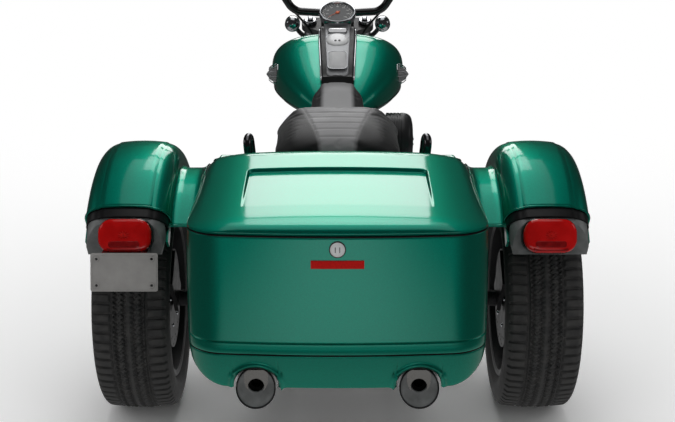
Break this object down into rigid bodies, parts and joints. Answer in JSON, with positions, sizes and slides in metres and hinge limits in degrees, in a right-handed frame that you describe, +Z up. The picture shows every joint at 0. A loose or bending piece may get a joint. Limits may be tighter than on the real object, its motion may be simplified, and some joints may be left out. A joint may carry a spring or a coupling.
{
  "type": "motor trike",
  "caption": "Touring motor trike with a steered front wheel, V-twin engine, two-up saddle and a lidded rear trunk between fendered rear wheels.",
  "frame": {"origin": "on the ground, midway along and across the vehicle", "axes": "+X to the rider's right, +Y forward, +Z up"},
  "size_m": [1.38, 2.6469, 1.2229],
  "materials": {
    "paint_green": "metallic emerald paint under gloss clear coat",
    "frame_black": "gloss black powder coat",
    "engine_black": "wrinkle black cast alloy with bare fin edges",
    "cover_black": "satin black covers",
    "chrome": "polished chrome",
    "exhaust_dark": "dark satin chrome",
    "tube_black": "gloss black tube",
    "cast_axle": "painted cast and welded steel",
    "belt": "toothed rubber belt",
    "satin_steel": "satin steel",
    "shock_black": "satin black",
    "caliper_grey": "anodised grey",
    "panel_grey": "satin grey",
    "lens_red": "clear red lens",
    "plate_grey": "blank painted sheet",
    "seat_black": "matte stitched cover",
    "tyre": "road tyre",
    "wheel_dark": "dark cast alloy with machined edges",
    "lever_black": "black grips and housings",
    "lamp_glass": "chrome shell with clear glass",
    "tread_rubber": "ribbed rubber pads on steel"
  },
  "bodies": {
    "chassis": {"frame": "frame_black", "engine_case": "engine_black", "cylinders": "engine_black", "rocker_covers": "cover_black", "primary_cover": "cover_black", "timing_cover": "chrome", "air_cleaner": "cover_black", "swingarm": "cast_axle", "drive_belt": "belt", "shock_absorbers": "shock_black", "rear_calipers": "caliper_grey", "mufflers": "exhaust_dark", "exhaust_pipes": "exhaust_dark", "trunk_tub": "paint_green", "rear_valance": "paint_green", "rear_fender_right": "paint_green", "rear_fender_left": "paint_green", "lamp_panels": "panel_grey", "tail_lamps": "lens_red", "number_plate": "plate_grey", "plate_bracket": "frame_black", "rider_seat": "seat_black", "passenger_seat": "seat_black", "fuel_tank": "paint_green", "dash_console": "cover_black", "speedometer": "chrome", "tank_badges": "chrome", "grab_rails": "tube_black", "side_covers": "paint_green", "oil_cooler": "cover_black", "footboards": "tread_rubber"},
    "fork": {"triple_clamps": "cover_black", "fork_legs": "satin_steel", "handlebar": "tube_black", "hand_controls": "lever_black", "mirrors": "lever_black", "headlamp": "lamp_glass", "front_signals": "cover_black", "front_fender": "paint_green", "front_calipers": "caliper_grey"},
    "front_wheel_body": {"front_tyre": "tyre", "front_wheel": "wheel_dark"},
    "rear_wheel_right_body": {"rear_tyre_right": "tyre", "rear_wheel_right": "wheel_dark"},
    "rear_wheel_left_body": {"rear_tyre_left": "tyre", "rear_wheel_left": "wheel_dark"},
    "lid": {"trunk_lid": "paint_green"}
  },
  "joints": [
    {"name": "steering", "type": "hinge", "parent": "chassis", "child": "fork", "pos_m": [0, 0.70102, 0.82693], "axis": [0, -0.4384, 0.8988], "range_deg": [-30, 30]},
    {"name": "front_wheel_spin", "type": "hinge", "parent": "fork", "child": "front_wheel_body", "pos_m": [0, 1.0055, 0.319], "axis": [1, 0, 0], "continuous": true},
    {"name": "rear_wheel_right_spin", "type": "hinge", "parent": "chassis", "child": "rear_wheel_right_body", "pos_m": [0.579, -0.6645, 0.325], "axis": [1, 0, 0], "continuous": true},
    {"name": "rear_wheel_left_spin", "type": "hinge", "parent": "chassis", "child": "rear_wheel_left_body", "pos_m": [-0.579, -0.6645, 0.325], "axis": [1, 0, 0], "continuous": true},
    {"name": "trunk_lid_hinge", "type": "hinge", "parent": "chassis", "child": "lid", "pos_m": [0, -0.697, 0.745], "axis": [-1, 0, 0], "range_deg": [0, 70]}
  ]
}
